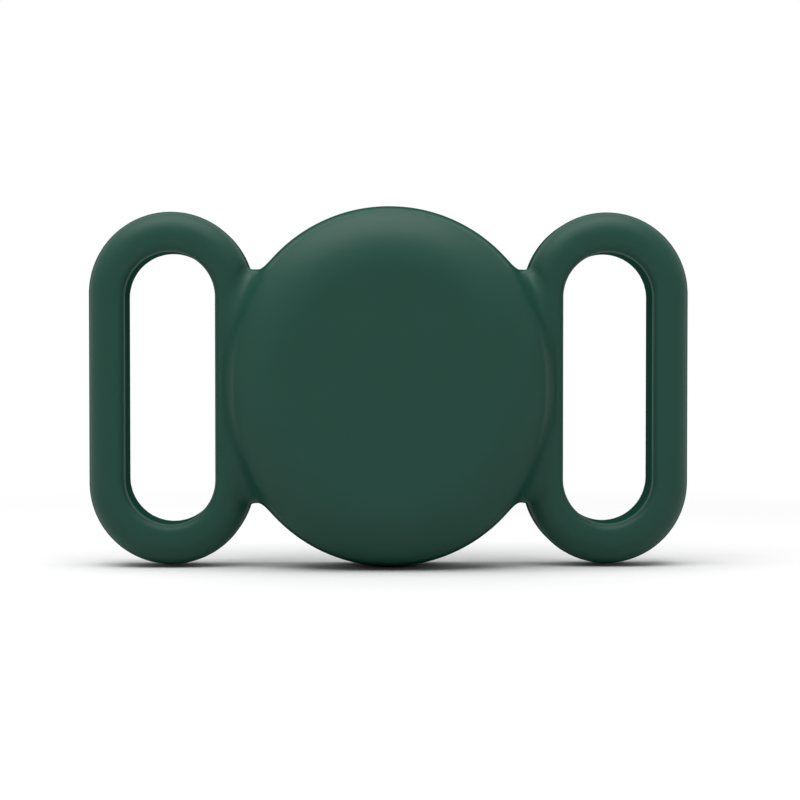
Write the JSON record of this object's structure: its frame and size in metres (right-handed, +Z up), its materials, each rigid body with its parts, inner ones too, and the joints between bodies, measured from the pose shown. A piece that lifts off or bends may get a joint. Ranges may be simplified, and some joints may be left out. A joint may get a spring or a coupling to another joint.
{
  "type": "tracker tag holder",
  "caption": "Soft moulded holder with a domed oval pod between slotted strap loops; a round tracker tag presses into the pod from behind through a stretching lip.",
  "frame": {"origin": "bottom centre of the holder's box: on the surface it stands on, under the middle of the pod", "axes": "+X to the right across the loops, +Y to the back, where the tag goes in, +Z up; the domed front faces -Y"},
  "size_m": [0.0674, 0.012, 0.0405],
  "materials": {
    "silicone": "soft matte moulded silicone, dark green",
    "white_shell": "glossy white moulded plastic",
    "white_base": "satin white moulded plastic",
    "carrier_plastic": "plain black moulded plastic",
    "aerial_copper": "plated copper strip",
    "board_laminate": "solder mask over laminate",
    "shield_steel": "tinned sheet steel",
    "chip_black": "moulded chip package",
    "ceramic": "ceramic with tinned ends",
    "yoke_steel": "zinc-plated steel",
    "magnet_nickel": "nickel-plated magnet",
    "coil_copper": "enamelled copper winding",
    "contact_gold": "gold-plated spring bronze",
    "cell_steel": "nickel-plated steel",
    "cell_plastic": "moulded sealing ring",
    "cathode_black": "pressed powder",
    "lithium_grey": "soft metal disc",
    "separator_white": "thin felt",
    "seal_rubber": "black sealing rubber",
    "cover_steel": "polished stainless steel"
  },
  "bodies": {
    "holder": {"holder_body": "silicone"},
    "tag": {"tag_front_shell": "white_shell", "tag_base": "white_base", "antenna_carrier": "carrier_plastic", "antenna_strips": "aerial_copper", "circuit_board": "board_laminate", "radio_shield": "shield_steel", "processor_chip": "chip_black", "memory_chip": "chip_black", "motion_sensor": "chip_black", "crystals": "shield_steel", "inductors": "chip_black", "bulk_capacitors": "ceramic", "small_passives": "ceramic", "speaker_yoke": "yoke_steel", "speaker_magnet": "magnet_nickel", "speaker_pole_plate": "yoke_steel", "voice_coil": "coil_copper", "coil_leads": "coil_copper", "negative_contact": "contact_gold", "positive_contacts": "contact_gold", "cell_can": "cell_steel", "cell_gasket": "cell_plastic", "cell_cap": "cell_steel", "cathode_pellet": "cathode_black", "cell_separator": "separator_white", "lithium_disc": "lithium_grey", "cover_seal": "seal_rubber"},
    "cover": {"battery_cover": "cover_steel", "cover_tab_ring": "white_base"}
  },
  "joints": [
    {"name": "tag_out", "type": "slide", "parent": "holder", "child": "tag", "axis": [0, 1, 0], "range_m": [0, 0.018], "deforming": ["holder_body"]},
    {"name": "cover_turn", "type": "hinge", "parent": "tag", "child": "cover", "pos_m": [0, 0, 0.02024], "axis": [0, 1, 0], "range_deg": [0, 30]}
  ]
}
